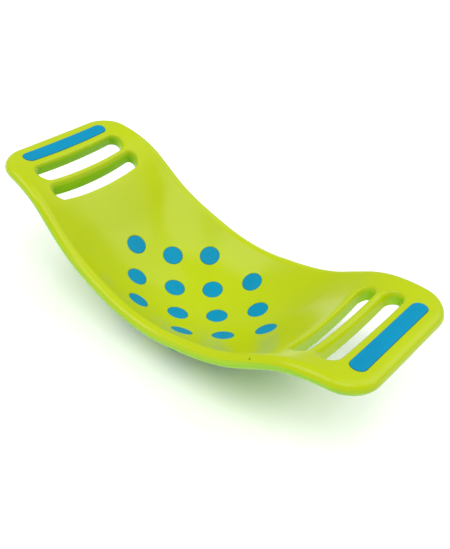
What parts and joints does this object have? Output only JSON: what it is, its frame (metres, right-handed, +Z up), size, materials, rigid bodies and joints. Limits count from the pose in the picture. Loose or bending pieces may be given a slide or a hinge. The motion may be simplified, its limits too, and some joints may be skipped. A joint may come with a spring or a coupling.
{
  "type": "balance board",
  "caption": "Child's rocker balance board: dished hollow plastic board with hand slots and grip strips at both ends and suction-cup poppers under its middle.",
  "frame": {"origin": "on the floor under the middle of the board, at the bottom centre of its box", "axes": "+X along the board's length, +Y across it, +Z up from the floor"},
  "size_m": [0.7, 0.2836, 0.1865],
  "materials": {
    "board_plastic": "satin blow-moulded polyethylene, lime green",
    "grip_rubber": "soft matt moulded rubber, cyan blue",
    "cup_rubber": "smooth moulded rubber, cyan blue"
  },
  "bodies": {
    "board": {"board_shell": "board_plastic", "grip_strip_left": "grip_rubber", "grip_strip_right": "grip_rubber", "grip_button_01": "grip_rubber", "grip_button_02": "grip_rubber", "grip_button_03": "grip_rubber", "grip_button_04": "grip_rubber", "grip_button_05": "grip_rubber", "grip_button_06": "grip_rubber", "grip_button_07": "grip_rubber", "grip_button_08": "grip_rubber", "grip_button_09": "grip_rubber", "grip_button_10": "grip_rubber", "grip_button_11": "grip_rubber", "grip_button_12": "grip_rubber", "grip_button_13": "grip_rubber", "grip_button_14": "grip_rubber"},
    "cup_01": {"popper_cup_01": "cup_rubber"},
    "cup_02": {"popper_cup_02": "cup_rubber"},
    "cup_03": {"popper_cup_03": "cup_rubber"},
    "cup_04": {"popper_cup_04": "cup_rubber"},
    "cup_05": {"popper_cup_05": "cup_rubber"},
    "cup_06": {"popper_cup_06": "cup_rubber"},
    "cup_07": {"popper_cup_07": "cup_rubber"},
    "cup_08": {"popper_cup_08": "cup_rubber"},
    "cup_09": {"popper_cup_09": "cup_rubber"},
    "cup_10": {"popper_cup_10": "cup_rubber"},
    "cup_11": {"popper_cup_11": "cup_rubber"},
    "cup_12": {"popper_cup_12": "cup_rubber"},
    "cup_13": {"popper_cup_13": "cup_rubber"},
    "cup_14": {"popper_cup_14": "cup_rubber"}
  },
  "joints": [
    {"name": "cup_press_01", "type": "slide", "parent": "board", "child": "cup_01", "axis": [0.1632, 0.4893, 0.8567], "range_m": [0, 0.0025], "stiffness_N_per_m": 6000},
    {"name": "cup_press_02", "type": "slide", "parent": "board", "child": "cup_02", "axis": [-0.1632, 0.4893, 0.8567], "range_m": [0, 0.0025], "stiffness_N_per_m": 6000},
    {"name": "cup_press_03", "type": "slide", "parent": "board", "child": "cup_03", "axis": [0.3448, 0.2369, 0.9083], "range_m": [0, 0.0025], "stiffness_N_per_m": 6000},
    {"name": "cup_press_04", "type": "slide", "parent": "board", "child": "cup_04", "axis": [0, 0.2559, 0.9667], "range_m": [0, 0.0025], "stiffness_N_per_m": 6000},
    {"name": "cup_press_05", "type": "slide", "parent": "board", "child": "cup_05", "axis": [-0.3448, 0.2369, 0.9083], "range_m": [0, 0.0025], "stiffness_N_per_m": 6000},
    {"name": "cup_press_06", "type": "slide", "parent": "board", "child": "cup_06", "axis": [0.5434, 0, 0.8395], "range_m": [0, 0.0025], "stiffness_N_per_m": 6000},
    {"name": "cup_press_07", "type": "slide", "parent": "board", "child": "cup_07", "axis": [0.1811, 0, 0.9835], "range_m": [0, 0.0025], "stiffness_N_per_m": 6000},
    {"name": "cup_press_08", "type": "slide", "parent": "board", "child": "cup_08", "axis": [-0.1811, 0, 0.9835], "range_m": [0, 0.0025], "stiffness_N_per_m": 6000},
    {"name": "cup_press_09", "type": "slide", "parent": "board", "child": "cup_09", "axis": [-0.5434, 0, 0.8395], "range_m": [0, 0.0025], "stiffness_N_per_m": 6000},
    {"name": "cup_press_10", "type": "slide", "parent": "board", "child": "cup_10", "axis": [0.3448, -0.2369, 0.9083], "range_m": [0, 0.0025], "stiffness_N_per_m": 6000},
    {"name": "cup_press_11", "type": "slide", "parent": "board", "child": "cup_11", "axis": [0, -0.2559, 0.9667], "range_m": [0, 0.0025], "stiffness_N_per_m": 6000},
    {"name": "cup_press_12", "type": "slide", "parent": "board", "child": "cup_12", "axis": [-0.3448, -0.2369, 0.9083], "range_m": [0, 0.0025], "stiffness_N_per_m": 6000},
    {"name": "cup_press_13", "type": "slide", "parent": "board", "child": "cup_13", "axis": [0.1632, -0.4893, 0.8567], "range_m": [0, 0.0025], "stiffness_N_per_m": 6000},
    {"name": "cup_press_14", "type": "slide", "parent": "board", "child": "cup_14", "axis": [-0.1632, -0.4893, 0.8567], "range_m": [0, 0.0025], "stiffness_N_per_m": 6000}
  ]
}
